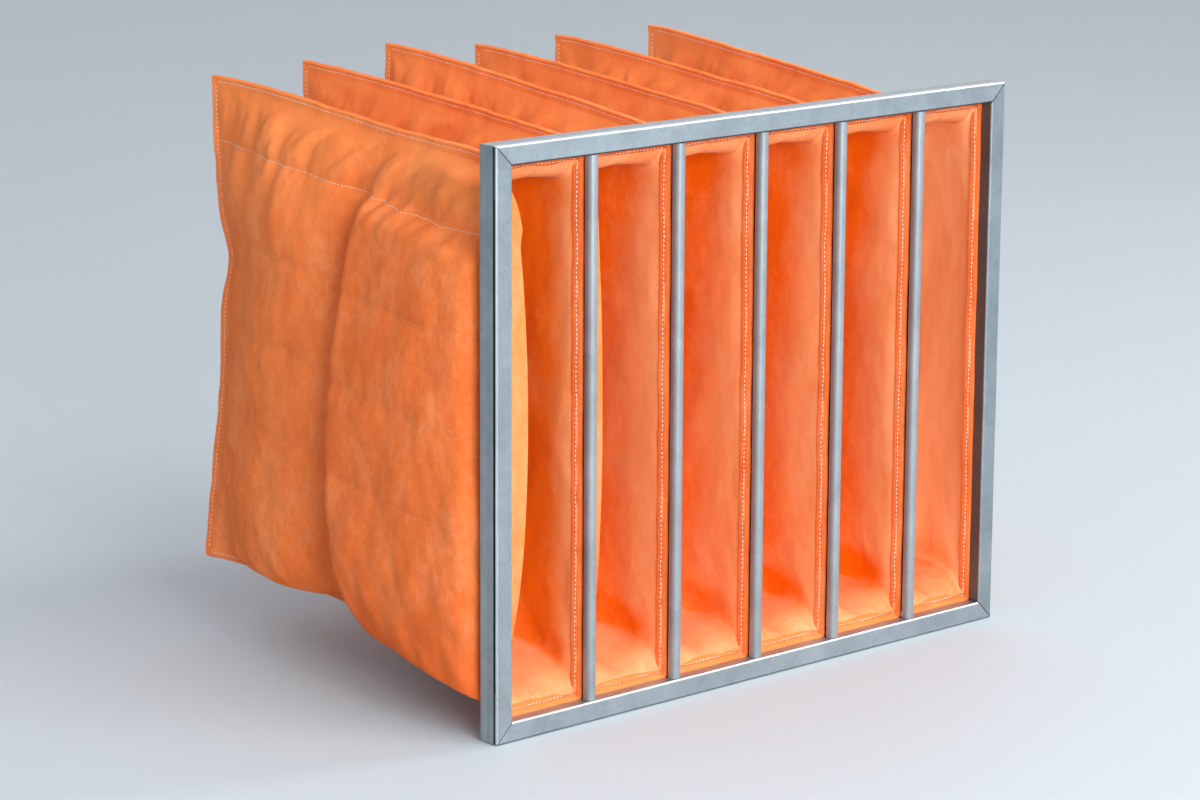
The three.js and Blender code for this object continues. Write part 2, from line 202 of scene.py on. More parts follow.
# unit normals of a grid, from the cross product of its two directions
def gridNormals(grid):
    normal = np.cross(np.gradient(grid, axis=0), np.gradient(grid, axis=1))
    return normal / np.maximum(np.linalg.norm(normal, axis=-1, keepdims=True), 1e-9)


class Wire:
    # a socket that can be calculated with: each operator adds one Math node
    def __init__(self, tree, socket=None):
        self.tree = tree
        self.socket = socket

    # adds any node: its settings first, then its inputs as values or wires
    def node(self, kind, settings=None, inputs=None, output=0):
        made = self.tree.nodes.new(kind)
        for name, value in (settings or {}).items():
            if name == "stops":
                ramp = made.color_ramp.elements
                while len(ramp) < len(value):
                    ramp.new(0.5)
                for stop, (place, shade) in zip(ramp, value):
                    stop.position = place
                    stop.color = shade
            else:
                setattr(made, name, value)
        for key, value in (inputs or {}).items():
            if isinstance(value, Wire):
                self.tree.links.new(value.socket, made.inputs[key])
            else:
                made.inputs[key].default_value = value
        return Wire(self.tree, made.outputs[output])

    def calc(self, operation, a, b):
        return self.node("ShaderNodeMath", {"operation": operation}, {0: a, 1: b})

    def __add__(self, other):
        return self.calc("ADD", self, other)

    def __sub__(self, other):
        return self.calc("SUBTRACT", self, other)

    def __rsub__(self, other):
        return self.calc("SUBTRACT", other, self)

    def __mul__(self, other):
        return self.calc("MULTIPLY", self, other)

    __radd__ = __add__
    __rmul__ = __mul__


# an sRGB colour as the linear one that sockets take: ((c + 0.055) / 1.055)^2.4
def paint(red, green, blue):
    return tuple(((c / 255 + 0.055) / 1.055) ** 2.4 for c in (red, green, blue)) + (1,)


# a material with its shader, a wire to start from and the wire of the place on the object
def newMaterial(name, metallic, roughness):
    material = bpy.data.materials.new(name)
    material.use_nodes = True
    tree = material.node_tree
    shader = tree.nodes["Principled BSDF"]
    shader.inputs["Metallic"].default_value = metallic
    shader.inputs["Roughness"].default_value = roughness
    wires = Wire(tree)
    place = wires.node("ShaderNodeTexCoord", output="Object")
    return material, shader, wires, place


# noise with blots of a width in millimetres, longer where stretch is below 1
def noise(wires, place, size, detail, stretch=(1, 1, 1), distortion=0.0):
    spot = wires.node("ShaderNodeMapping", {}, {"Vector": place, "Scale": stretch})
    inputs = {"Vector": spot, "Scale": 1 / (size * mm), "Detail": detail, "Distortion": distortion}
    return wires.node("ShaderNodeTexNoise", {}, inputs)


# a value that was painted on the points
def mark(wires, name):
    return wires.node("ShaderNodeAttribute", {"attribute_name": name}, output=2)


# colour a where the factor is 0 and b where it is 1
def mixColour(wires, factor, a, b):
    return wires.node("ShaderNodeMix", {"data_type": "RGBA"}, {0: factor, 6: a, 7: b}, output=2)


# joins a wire to one of the shader's sockets
def plug(wires, wire, shader, socket):
    wires.tree.links.new(wire.socket, shader.inputs[socket])


# a bump of a height in millimetres into the shader's normal
def addBump(wires, shader, relief, strength, high):
    bump = wires.node("ShaderNodeBump", {}, {"Strength": strength, "Distance": high * mm, "Height": relief})
    plug(wires, bump, shader, "Normal")


# low is painted shade and high a painted highlight; glow and lit are painted colours for the inside, from
# light through the cloth to where light falls; through is painted light given as emission
clothLook = dict(
    deep=(219, 99, 45),
    middle=(232, 117, 60),
    pale=(243, 143, 90),
    low=(214, 92, 36),
    high=(252, 150, 84),
    glow=(236, 101, 0),
    lit=(236, 169, 122),
    through=(222, 136, 66),
    throughStrength=0.25,
    roughness=0.88,
    shine=0.06,
    cloudSize=42,
    blotSize=7,
    fibreSize=1.3,
    crumpleSize=22,
    crumple=0.5,
)
webLook = dict(clothLook, middle=(238, 140, 84), pale=(246, 168, 122), crumple=0.3)
hemLook = dict(
    # painted shade: a darker copy of the same cloth, and low, a painted shadow on the hem's outer edge
    clothLook,
    low=(126, 50, 18),
    deep=(206, 92, 40),
    middle=(219, 108, 54),
    pale=(232, 130, 76),
    crumple=0.2,
)


# nonwoven cloth: upright cloudy blots, fine crossing fibres, and soft creases in the bump; the mark
# "shade" paints light and shade into the colour, from -1, painted shade where the cloth lies low or deep,
# to 1, painted light where it is lit, and "inside" is 1 on the side that looks into the pocket, where
# the colour is a painted glow of light through the cloth; light that comes through the cloth from outside
# is painted as a faint emission, as strong as the mark "through"
def makeCloth(name, look):
    material, shader, wires, place = newMaterial(name, 0, look["roughness"])
    cloud = noise(wires, place, look["cloudSize"], 3, (1, 1, 0.6), 0.5)
    blot = noise(wires, place, look["blotSize"], 5, (1, 1, 0.75), 0.8)
    fibre = noise(wires, place, look["fibreSize"], 3, (1, 1, 0.5), 1.8)
    tone = cloud * 0.66 + blot * 0.42 + fibre * 0.2
    stops = [(0.36, paint(*look["deep"])), (0.62, paint(*look["middle"])), (0.90, paint(*look["pale"]))]
    colour = wires.node("ShaderNodeValToRGB", {"stops": stops}, {"Fac": tone})
    shade = mark(wires, "shade")
    # painted shade where the mark is below 0, and a painted highlight where it is above
    colour = mixColour(wires, shade * -1, colour, paint(*look["low"]))
    colour = mixColour(wires, shade * 0.8, colour, paint(*look["high"]))
    # inside: from the painted glow of light through the cloth to the painted lit colour
    depth = shade * 0.5 + tone * 1.1 - 0.2
    glow = mixColour(wires, depth, paint(*look["glow"]), paint(*look["lit"]))
    colour = mixColour(wires, mark(wires, "inside"), colour, glow)
    plug(wires, colour, shader, "Base Color")
    # painted light through the cloth, as emission
    through = mixColour(wires, mark(wires, "through"), (0, 0, 0, 1), paint(*look["through"]))
    plug(wires, through, shader, "Emission Color")
    shader.inputs["Emission Strength"].default_value = look["throughStrength"]
    shader.inputs["Specular IOR Level"].default_value = look["shine"]
    crumple = noise(wires, place, look["crumpleSize"], 4, (1, 1, 0.6), 1.2)
    addBump(wires, shader, crumple * look["crumple"] + fibre * 0.06 + blot * 0.1, 0.8, 1.6)
    return material


steelLook = dict(
    dark=(124, 135, 141),
    light=(154, 164, 170),
    # the next two are a painted highlight on the bends and painted shade in the groove
    bendHighlight=(246, 249, 250),
    shadow=(26, 30, 33),
    roughness=0.34,
    metallic=0.7,
    flakeSize=9,
    filmSize=45,
    speckSize=2.4,
)
# painted light: a lighter copy of the same steel for the top and the bottom member, which catch more light
litCrossLook = dict(steelLook, dark=(136, 147, 153), light=(168, 178, 184))
barLook = dict(
    steelLook,
    dark=(132, 138, 142),
    light=(159, 165, 169),
    roughness=0.36,
    metallic=0.5,
    flakeSize=14,
)
innerLook = dict(steelLook, dark=(120, 130, 138), light=(160, 172, 180), roughness=0.5)


# zinc-coated sheet: faint flakes of different greys and a cloudy film; the mark "edge" paints light
# and shade: a painted highlight, 1 on the bends, and painted shade, -1 down in the groove and on bends that
# lie in shadow
def makeSteel(name, look):
    material, shader, wires, place = newMaterial(name, look["metallic"], look["roughness"])
    inputs = {"Vector": place, "Scale": 1 / (look["flakeSize"] * mm), "Randomness": 1.0}
    flakes = wires.node("ShaderNodeTexVoronoi", {"feature": "F1"}, inputs, output="Color")
    grey = wires.node("ShaderNodeSeparateColor", {}, {0: flakes})
    film = noise(wires, place, look["filmSize"], 4)
    speck = noise(wires, place, look["speckSize"], 3)
    tone = grey * 0.12 + film * 0.6 + speck * 0.3
    stops = [(0.28, paint(*look["dark"])), (0.78, paint(*look["light"]))]
    colour = wires.node("ShaderNodeValToRGB", {"stops": stops}, {"Fac": tone})
    # painted highlight where the mark is above 0, painted shade where it is below
    edge = mark(wires, "edge")
    colour = mixColour(wires, edge, colour, paint(*look["bendHighlight"]))
    colour = mixColour(wires, edge * -1, colour, paint(*look["shadow"]))
    plug(wires, colour, shader, "Base Color")
    # film and speck are about a half each, so they are taken off again
    plug(wires, film * 0.16 + speck * 0.1 - edge * 0.1 + (look["roughness"] - 0.13), shader, "Roughness")
    addBump(wires, shader, speck * 0.5 + film * 0.5, 0.12, 0.3)
    return material


# sewing thread: twisted, so its colour is a fast noise
def makeThread(name, colour):
    material, shader, wires, place = newMaterial(name, 0, 0.7)
    twist = noise(wires, place, 0.5, 1)
    shade = mixColour(wires, twist, paint(*[0.82 * c for c in colour]), paint(*colour))
    plug(wires, shade, shader, "Base Color")
    return material


orangeCloth = makeCloth("orangeCloth", clothLook)
webCloth = makeCloth("paleWebCloth", webLook)
hemCloth = makeCloth("hemCloth", hemLook)
headerSteel = makeSteel("headerSteel", steelLook)
litCrossSteel = makeSteel("litCrossSteel", litCrossLook)
barSteel = makeSteel("barSteel", barLook)
innerSteel = makeSteel("innerSteel", innerLook)
whiteThread = makeThread("whiteThread", (238, 226, 214))
orangeThread = makeThread("orangeThread", (240, 160, 112))
print("materials made")


# where bar number stands, from left to right: an even spacing and the bar's own drift
def barCentre(number):
    return -innerHalf + pitch * number - barHalf + barDrift[number]


# the mouth of a pocket from side to side: each side stands off a bar's centre by the hem's thickness and
# its clearances, or off the header's web
def mouthSides(index):
    held = 2 * cloth["clearance"] + cloth["hemThickness"]
    first, last = index == 0, index == len(pockets) - 1
    leftX = -innerHalf + cloth["sideGap"] if first else barCentre(index) + held
    rightX = innerHalf - cloth["sideGap"] if last else barCentre(index + 1) - held
    return leftX, rightX


# a pocket's section, at share s of the way back and share e of the way down: at the mouth a rectangle
# with rounded corners, further back a pointed lens with its tips at the seams. A full wall's lower
# corner stays a corner for longer. Behind the mouth the floor and the roof rise and fall from the seams
# to creases along the walls. Gives the way round from the seam, how far out (0 to 1) and how high (-1
# to 1) the cloth lies, and that rise
def pocketSection(s, e, halfMouth, full):
    halfSide = header["height"] / 2 - cloth["inset"]
    tip = 87  # the length of section over which the lens is rounded
    upper = np.sign(0.5 - e)
    arc = (1 - np.abs(1 - 2 * e)) * (halfMouth + halfSide)
    boxy = (1 - smooth(s, 0.43, 0.56)) + 0.9 * smooth(s, 0.56, 0.72) * (1 - smooth(s, 0.84, 0.97))
    boxy = boxy * (upper < 0) * full
    corner = 4 + 26 * smooth(s, 0.08, 0.4)
    flat = (arc + halfMouth - np.sqrt((arc - halfMouth) ** 2 + corner**2)) / 2
    flat = flat - (halfMouth - np.sqrt(halfMouth**2 + corner**2)) / 2
    across = flat / halfMouth
    up = upper * (1 - (arc - flat) / halfSide)
    slope = 15 * (1 - np.exp(-s / 0.035)) * (1 - smooth(s, 0.22, 0.5)) * np.clip(across, 0, 1) * up**2
    slope = slope * np.where(upper < 0, 1 - 0.85 * boxy, -0.3)

    t = np.clip(arc / tip, 0, 1)
    rounded = 1 - 0.1 * (t - 2 * t**2 + t**3) + (tip - halfMouth) / halfSide * (2 * t**3 - 3 * t**2)
    rounded = rounded - (t**3 - t**2) * tip / halfSide
    lensHeight = upper * np.where(arc < tip, rounded, 1 - (arc - halfMouth) / halfSide)
    lens = 1 - np.abs(lensHeight) ** 3.4
    blend = smooth(s, 0.1, 0.38) * (1 - boxy)
    height = up * (1 - blend) + lensHeight * blend
    across = across * (1 - blend) + lens * blend
    return arc, across, height, slope


# the heights of a pocket's top and bottom seam: both dip towards each other just behind the mouth; the
# top seam then climbs above the header, and the bottom one rises along a parabola
def seamHeights(pocket, s):
    climb = pocket["ease"] * smooth(s, pocket["ease"] / 4, 1) + (1 - pocket["ease"]) * s
    top = header["height"] - cloth["inset"]
    top = top + (header["height"] + pocket["rise"] - cloth["seam"] - top) * climb
    top = top - 6 * smooth(s, 0, 0.15) * (1 - climb) - 12 * swell(s / 0.05)
    bottom = cloth["inset"]
    bottom = bottom + (pocket["lift"] + cloth["seam"] - bottom) * (1 - (1 - s) ** 2) + 6 * swell(s / 0.09)
    return top, bottom


# how far a full left wall stands out: a front belly that ends in an upright fold, which curves forward
# at its foot, a lower belly behind it, and a narrow valley between the two
def leftSwell(belly, s, z, height):
    fold = dict(at=213, foot=44, width=16, behind=0.66, valley=0.25)
    past = s * clothRun
    foldAt = fold["at"] - 0.0003 * np.clip(z - 170, 0, None) ** 2
    foldAt = foldAt - fold["foot"] * np.clip((160 - z) / 100, 0, 1) ** 2
    beyond = cloth["hemBack"] + past - foldAt
    front = 1 - 0.75 * np.exp(-past / 9) - 0.25 * np.exp(-past / 45)
    front = front * (1 - smooth(beyond, -3, fold["width"]))
    fullness = 0.72 + 0.28 * smooth(-height, -0.75, 0.1)
    fullness = fullness * (0.1 + 0.9 * smooth(-height, -0.81, -0.7))
    share = np.clip((beyond - fold["width"]) / (cloth["stitches"] - foldAt - fold["width"]), 0, 1)
    behind = fold["behind"] * np.sin(np.pi * share) ** 1.2
    behind = behind * (1 - np.clip(height, 0, 1) ** 3) * (1 - 0.25 * np.clip(-height, 0, 1) ** 4)
    valley = fold["valley"] * np.exp(-(((beyond - 24) / 13) ** 2)) * smooth(-height, -0.8, -0.6)
    return belly * (front * fullness + behind - valley)


# how far the left wall is drawn in just behind its hem: (t e^(1 - t))^2, less towards the corners
def tuckDepth(depth, s, height):
    above = (1 - height**16) * (1 - 0.5 * height**2)
    below = (1 - height**6) * (1 - 0.55 * height**2)
    return depth * swell(s / 0.0121) ** 2 * np.where(height > 0, above, below)


# a pocket's inner surface: s is the share of the way from the hem to the back stitches,
# e the share of the way from the top seam down to the bottom seam
def pocketSurface(index, side, s, e):
    pocket = pockets[index]
    belly = pocket["bellies"][side > 0]
    full = belly > 20
    leftX, rightX = mouthSides(index)
    halfMouth = (rightX - leftX) / 2 - 0.15
    arc, across, height, slope = pocketSection(s, e, halfMouth, full)

    # the hem leans inwards, so the cloth behind it starts further in
    past = s * clothRun
    lean = (1 - 0.4 * np.exp(-past / 3)) * np.exp(-past / 55)
    top, bottom = seamHeights(pocket, s)
    bottom, top = bottom + 6.2 * lean, top - 5.4 * lean
    z = bottom + (top - bottom) * (height + 1) / 2 + slope
    # at the back the fullest pocket sags below its seam
    sag = 13 * smooth(s, 0.5, 0.62) * (1 - smooth(s, 0.8, 0.95))
    sag = sag + 4 * smooth(s, 0.1, 0.3) * (1 - smooth(s, 0.4, 0.5))
    z = z - sag * full * (e > 0.5) * np.sin(np.pi * np.clip(arc / 110, 0, 1)) ** 1.5

    drift = (barDrift[index] + barDrift[index + 1]) / 2
    centre = (leftX + rightX) / 2 - drift * s + pocket["lean"] * s**1.3
    bow = 0.6 * np.clip(1 - height**2, 0, 1) ** 1.5 + 0.4 * np.exp(-(((height - 0.27) / 0.13) ** 2))
    centre = centre + (pocket["sway"] * bow - pocket["swing"] * (1 - height) / 2) * s**3
    if side < 0:
        swollen = leftSwell(belly, s, z, height) - tuckDepth(pocket["tuck"], s, height)
    else:
        swollen = belly * np.sin(np.pi * s**0.7) * (1 - height**4)
    out = 0.15 + (halfMouth * (1 - s**1.7) - 3.4 * lean) * across + swollen * np.clip(arc / 42, 0, 1)
    return np.stack([centre + side * out, np.zeros(out.shape), z], -1), height, out, arc / halfMouth


# the stations to take a row's height from: a row keeps its height over the last 60 mm to the header
def steadied(count, first=22):
    return np.maximum(np.arange(count), first)


# how far the cloth stands off that surface: pillows between the sewn rows, a groove along each row,
# puckers that die away from each seam and row, slanting creases under the top seam, and slack
def clothRelief(index, side, y, point, height, out):
    seed = 100 * index + (7 if side < 0 else 57)
    z = point[..., 2]
    topGap = z[:, :1] - z
    bottomGap = z - z[:, -1:]
    backGap = np.clip(cloth["stitches"] - y, 0, None)
    hemGap = np.clip(y - cloth["hemBack"], 0, None)

    levels = [1.0] + stitchedRows + [-1.0]
    pillow = np.zeros_like(z)
    for above, below in zip(levels[:-1], levels[1:]):
        t = np.clip((above - height) / (above - below), 0, 1)
        pillow += 4 * t * (1 - t)
    relief = 2.0 * pillow * smooth(hemGap, 10, 120)

    upper, lower = z[:, :1][steadied(len(z))], z[:, -1:][steadied(len(z))]
    for k, level in enumerate(stitchedRows):
        gap = z - (upper + lower) / 2 - level * (upper - lower) / 2
        strength = [1.0, 0.8, 0.5, 0.5][k]
        relief -= strength * 1.5 * np.exp(-((gap / 3.2) ** 2)) * smooth(hemGap, 25, 60)
        relief += strength * 0.8 * field(y / 9.5, gap / 60 + k, seed + 11 + k) * np.exp(-np.abs(gap) / 15)

    # the creases lean back on their way down, more so close to the header
    slant = y - (1.5 - 0.0028 * y) * topGap
    bent = slant + 9 * field(slant / 40, topGap / 30, seed + 26)
    folds = 6.4 * facets(bent / 36, topGap / 90, seed + 21) + 1.8 * facets(bent / 12, topGap / 40, seed + 22)
    folds = folds * np.exp(-((topGap / 62) ** 2)) * smooth(topGap, 0, 22)
    relief += folds * (smooth(hemGap, 5, 60) if index == 0 and side < 0 else smooth(hemGap, 50, 150))
    # puckers at the bottom seam, the back seam and the hem
    relief += 3.0 * facets((y - 0.6 * bottomGap) / 25, bottomGap / 60, seed + 23) * np.exp(-bottomGap / 50)
    relief += 2.4 * facets((z + 0.5 * backGap) / 27, backGap / 60, seed + 24) * np.exp(-backGap / 45)
    relief += 1.4 * creases(z / 37, hemGap / 80, seed + 25) * np.exp(-hemGap / 45) * smooth(hemGap, 0, 14)
    # slack all over
    relief += 2.6 * field(y / 92, z / 130, seed + 1)
    relief += 1.5 * field(y / 44 + 0.2 * field(y / 60, z / 60, seed), z / 66, seed + 2)
    relief += 1.7 * facets((y + 0.4 * z) / 44, (z - 0.5 * y) / 95, seed + 3)
    relief += 0.5 * facets(y / 15, z / 27, seed + 4)

    edge = np.minimum(np.minimum(topGap, bottomGap), backGap)
    relief *= (1 - np.exp(-edge / 13)) * pockets[index]["crease"] * smooth(hemGap, 0, 16)
    if side > 0:
        relief *= 0.5 + 0.5 * smooth(hemGap, 40, 130)
    return np.maximum(relief, -0.55 * out)


# the marks of a wall's inner and outer layer, which paint light and shade into the cloth's colour; along is
# the share of the way back, fall that of the way down, and arc the way round from the seam in half mouths,
# so the roof and the floor end at 1
def wallMarks(index, side, yy, z, arc):
    along = np.clip((yy - cloth["hemBack"]) / clothRun, 0, 1)
    fall = (z[:, :1] - z) / (z[:, :1] - z[:, -1:])
    panel = (1 - smooth(arc, 0.93, 1.02)) * (1 - smooth(along, 0.16, 0.34))
    # inside, painted light and shade: a painted glow of light through the cloth, deeper and deeper further
    # back, and painted pale where light falls on it: on the floor and the roof behind the mouth, and on the
    # tuck beside it
    if index == 0:
        within = 0.35 - 1.4 * smooth(along, 0.0, 0.1)
    elif index == len(pockets) - 1:
        within = 1.0 - 0.4 * smooth(along, 0.1, 0.3)
    else:
        within = 0.45 - 1.4 * smooth(along, 0.01, 0.14 + 0.1 * smooth(fall, 0.1, 0.55))
    within = within + (np.where(fall > 0.5, 0.2, 0.1) - within) * panel
    # painted shade, deepest just beside the creases that part a wall from the floor and from the roof
    fold = np.exp(-(((arc - 1.3) / 0.4) ** 2)) * smooth(along, 0.01, 0.06) * (1 - smooth(along, 0.25, 0.35))
    fold = fold * np.where(fall > 0.5, 1, 0.4)
    within = within - 1.1 * fold
    # painted light that comes through the cloth, given as emission; none on the floor and the roof
    through = (1 - panel) * (0.14 + 0.6 * (1 - smooth(along, 0.02, 0.14))) * (1 - 0.8 * fold)
    if index == len(pockets) - 1:
        through = 0.6 * (1 - panel)
    if side < 0:
        near = (1 - smooth(along, 0.05, 0.12)) * (1 - panel)
        within = within * (1 - near) - 0.26 * near
        through = through * (1 - near)

    # outside, painted light and shade: painted highlights on the creases under the top seam, painted light
    # towards the top and at the back, and painted shade towards the bottom
    ridge = np.clip(facets((yy - 1.3 * (z[:, :1] - z)) / 33, fall * 4, 33 + index), 0, 1)
    outside = 0.3 * ridge * (1 - smooth(fall, 0.06, 0.2)) * (1 - smooth(along, 0.35, 0.7))
    outside = outside + 0.32 * (1 - smooth(fall, 0.0, 0.3))
    outside = outside - 0.7 * smooth(fall, 0.72, 1.0) * (1 - smooth(along, 0.4, 0.7))
    outside = outside + 0.3 * smooth(along, 0.5, 0.62) * (1 - 0.7 * fall)
    front = smooth(along, 0.05, 0.2) * (1 - smooth(along, 0.3, 0.5))
    outside = outside + 0.4 * (1 - smooth(fall, 0.05, 0.18)) * front
    return dict(
        shade=np.stack([np.clip(within, -1, 1), outside]),
        inside=np.stack([0 * z + 1, 0 * z]),
        through=np.stack([through, 0 * z]),
    )


# one wall: the surface, its relief along the normals and its thickness, with the flat seam on three
# sides, where the normals turn sideways
def wallSheets(index, side):
    front, back = cloth["hemBack"], cloth["stitches"]
    sewn = np.linspace(front, back, cloth["columns"])
    y = np.concatenate([front + np.array(frontSteps), sewn, back + np.array(backSteps)])[:, None]
    s = np.clip((y - cloth["hemBack"]) / clothRun, 0, 1)
    e = np.linspace(0, 1, cloth["rows"])[None, :]
    e = e - 0.45 * np.sin(2 * np.pi * e) / (2 * np.pi)  # closer lines near the seams
    point, height, out, arc = pocketSurface(index, side, s, e)
    yy = np.broadcast_to(y, out.shape)
    point[..., 1] = yy
    relief = clothRelief(index, side, y, point, height, out)
    normal = gridNormals(point)
    normal *= np.sign(normal[..., :1].mean() * side)
    z = point[..., 2]
    edge = np.minimum(np.minimum(z[:, :1] - z, z - z[:, -1:]), cloth["stitches"] - yy)
    turn = smooth(edge, 0, 16)[..., None]
    normal = normal * turn + np.array([side, 0.0, 0.0]) * (1 - turn)
    normal /= np.linalg.norm(normal, axis=-1, keepdims=True)
    inner = point + normal * relief[..., None]

    narrow = 2.6  # the seam's width at the hem
    width = narrow + (cloth["seam"] - narrow) * smooth(s, 0, 0.15)
    share = np.array(seamShares)[None, :, None]
    up = np.array([0.0, 0.0, 1.0])
    upper = inner[:, :1] + share * width[:, :, None] * up
    lower = inner[:, -1:] - share[:, ::-1] * width[:, :, None] * up
    inner = np.concatenate([upper, inner, lower], 1)
    sideways = np.broadcast_to(np.array([side, 0.0, 0.0]), upper.shape)
    normal = np.concatenate([sideways, normal, sideways], 1)

    # the flat seam waves a little, and both walls of a pocket wave with it
    z = inner[..., 2]
    yy = np.broadcast_to(y, z.shape)
    rim = np.minimum(np.minimum(z[:, :1] - z, z - z[:, -1:]), backEdge - yy)
    wave = 1.3 * field(yy / 34, z / 40, 31 + index) + 0.7 * field(yy / 13, z / 15, 61 + index)
    inner[..., 0] += wave * np.exp(-rim / 22) * smooth(yy, 30, 70)
    nick = 0.5 * field(yy / 23, z / 23, 91 + index) * np.exp(-rim / 5)
    inner[..., 2] += nick * np.sign(z - z.mean()) * smooth(yy, 30, 60)
    # the cloth thickens to a bead just inside its cut edge, and thins to a lip at the edge itself
    thickness = cloth["thickness"] + 0.7 * np.exp(-(((rim - 1.3) / 1.1) ** 2)) - 0.7 * np.exp(-rim / 0.3)
    outer = inner + normal * thickness[..., None]
    arc = np.broadcast_to(np.pad(arc[0], seamLines, mode="edge"), z.shape)
    return inner, outer, normal, wallMarks(index, side, yy, inner[..., 2], arc)


# sewing: a spindle of five sides for each stitch, laid along a path at a steady pitch
def stitchRun(path, normal, radius=0.36):
    length, step, sides, lifted = 2.7, 3.9, 5, 0.12
    reach = np.concatenate([[0], np.cumsum(np.linalg.norm(np.diff(path, axis=0), axis=1))])
    place = np.arange(step, reach[-1] - step, step)
    centre = np.stack([np.interp(place, reach, path[:, k]) for k in range(3)], -1)
    ahead = np.stack([np.interp(place + 1.5, reach, path[:, k]) for k in range(3)], -1)
    behind = np.stack([np.interp(place - 1.5, reach, path[:, k]) for k in range(3)], -1)
    lift = np.stack([np.interp(place, reach, normal[:, k]) for k in range(3)], -1)
    along = ahead - behind
    along /= np.linalg.norm(along, axis=1, keepdims=True)
    across = np.cross(along, lift)
    across /= np.linalg.norm(across, axis=1, keepdims=True)
    lift = np.cross(across, along)
    angle = np.arange(sides) * 2 * np.pi / sides
    ring = np.stack([np.cos(angle), np.sin(angle)], -1) * radius
    tips = [(-0.5, (0, 0)), *[(-0.3, c) for c in ring], *[(0.3, c) for c in ring], (0.5, (0, 0))]
    shape = np.array([[t * length, a, b] for t, (a, b) in tips])
    points = (
        centre[:, None]
        + along[:, None] * shape[None, :, :1]
        + across[:, None] * shape[None, :, 1:2]
        + lift[:, None] * (shape[None, :, 2:] + lifted)
    )
    faces = []
    for k in range(sides):
        a, b = 1 + k, 1 + (k + 1) % sides
        c, d = a + sides, b + sides
        faces += [[0, b, a], [a, b, d], [a, d, c], [c, d, len(tips) - 1]]
    faces = np.array(faces)[None] + (np.arange(len(place)) * len(tips))[:, None, None]
    return points.reshape(-1, 3), faces.reshape(-1, 3)


# several runs of stitches as one mesh
def joined(runs):
    points, faces, count = [], [], 0
    for runPoints, runFaces in runs:
        points.append(runPoints)
        faces.append(runFaces + count)
        count += len(runPoints)
    return np.concatenate(points), np.concatenate(faces)


# where a stitched row runs on a wall: its line at one height, from one grid line between the hem and
# the back seam to another
def rowLine(grid, level, first, last):
    own = slice(seamLines, -seamLines)
    z = grid[..., 2]
    steady = z[steadied(len(z), 24)]
    upper, lower = steady[:, seamLines], steady[:, -seamLines - 1]
    target = (upper + lower) / 2 + level * (upper - lower) / 2
    line = []
    for k in range(3):
        line.append([np.interp(-t, -zz[own], g[own, k]) for t, zz, g in zip(target, z, grid)])
    return np.array(line).T[first:last]


# the path round a mouth from its upper right corner: a quarter circle at each corner and a straight
# line to the next, and the way out from the mouth at each point
def hemPath(index):
    leftX, rightX = mouthSides(index)
    low, high = cloth["inset"], header["height"] - cloth["inset"]
    radius = cloth["hemCorner"]
    middleX, middleZ = (leftX + rightX) / 2, (low + high) / 2
    bends = []
    for x, z, first in ((rightX, high, 0), (leftX, high, 90), (leftX, low, 180), (rightX, low, 270)):
        angle = np.radians(first + np.linspace(0, 90, 7))
        facing = np.stack([np.cos(angle), np.sin(angle)], -1)
        centre = np.array([x - radius * np.sign(x - middleX), z - radius * np.sign(z - middleZ)])
        bends.append((centre + radius * facing, facing))
    path, out = [], []
    for n, (bend, facing) in enumerate(bends):
        steps = 26 if n % 2 == 0 else 120
        t = np.linspace(0, 1, steps + 1)[1:-1, None]
        path += [bend, bend[-1] * (1 - t) + bends[(n + 1) % 4][0][0] * t]
        out += [facing, np.tile(facing[-1], (steps - 1, 1))]
    return np.concatenate(path), np.concatenate(out)


# the folded hem round a mouth: a flat band with a rounded front edge and a stitched groove, carried
# round the path; also its line of stitches, their way in and the mark "shade", which paints shade on the
# hem's outer edge and light on its bottom band
def hemRing(index):
    path, out = hemPath(index)
    reach = np.arange(len(path)) * 3.6
    thick, deep, nose = cloth["hemThickness"], cloth["hemDepth"], 1.5
    turn = np.radians(np.linspace(180, 0, 9))
    section = [(thick / 2 + thick / 2 * math.cos(a), nose - nose * math.sin(a)) for a in turn]
    section += [(thick, 4.0), (thick, deep - 0.4), (thick - 0.4, deep), (1.6, deep), (0.2, deep - 0.3)]
    section += [(-0.2, deep - 1.2), (-0.2, deep - 2.6), (0.15, 4.4), (-0.2, 3.4), (-0.1, 2.4)]
    section = np.array(section)
    offset, back = section[None, :, 0], section[None, :, 1]
    ripple = 0.35 * field(reach / 15, 0, 41 + index) + 0.15 * field(reach / 5, 3, 51 + index)
    ripple = ripple[:, None]
    # the hem leans in towards its back, most at the top and the bottom
    tilt = (0.4 + 0.34 * np.abs(out[:, 1:])) * back
    around = path[:, None] + (offset - 0.5 - tilt + ripple * (1 - offset / thick))[..., None] * out[:, None]
    y = cloth["hemFront"] + back + 0.5 * field(reach / 28, 9, 71 + index)[:, None]
    points = np.stack([around[..., 0], np.broadcast_to(y, around.shape[:2]), around[..., 1]], -1)
    line = points[:, -3]
    inwards = np.stack([-out[:, 0], 0 * out[:, 0], -out[:, 1]], -1)
    # painted shadow on the hem's outer edge, and painted light on the band along the bottom
    outer = section[:, 0] > 2.7
    shade = np.where(outer, -1, 0) + 0.5 * (out[:, 1:] < -0.9) * ~outer
    return points, line, inwards, shade


# start and end are shares of the way from a wall's front edge to its back edge
webs = dict(start=0.31, end=0.80, stations=64, across=22, thickness=1, sag=2.2, gap=0.3)


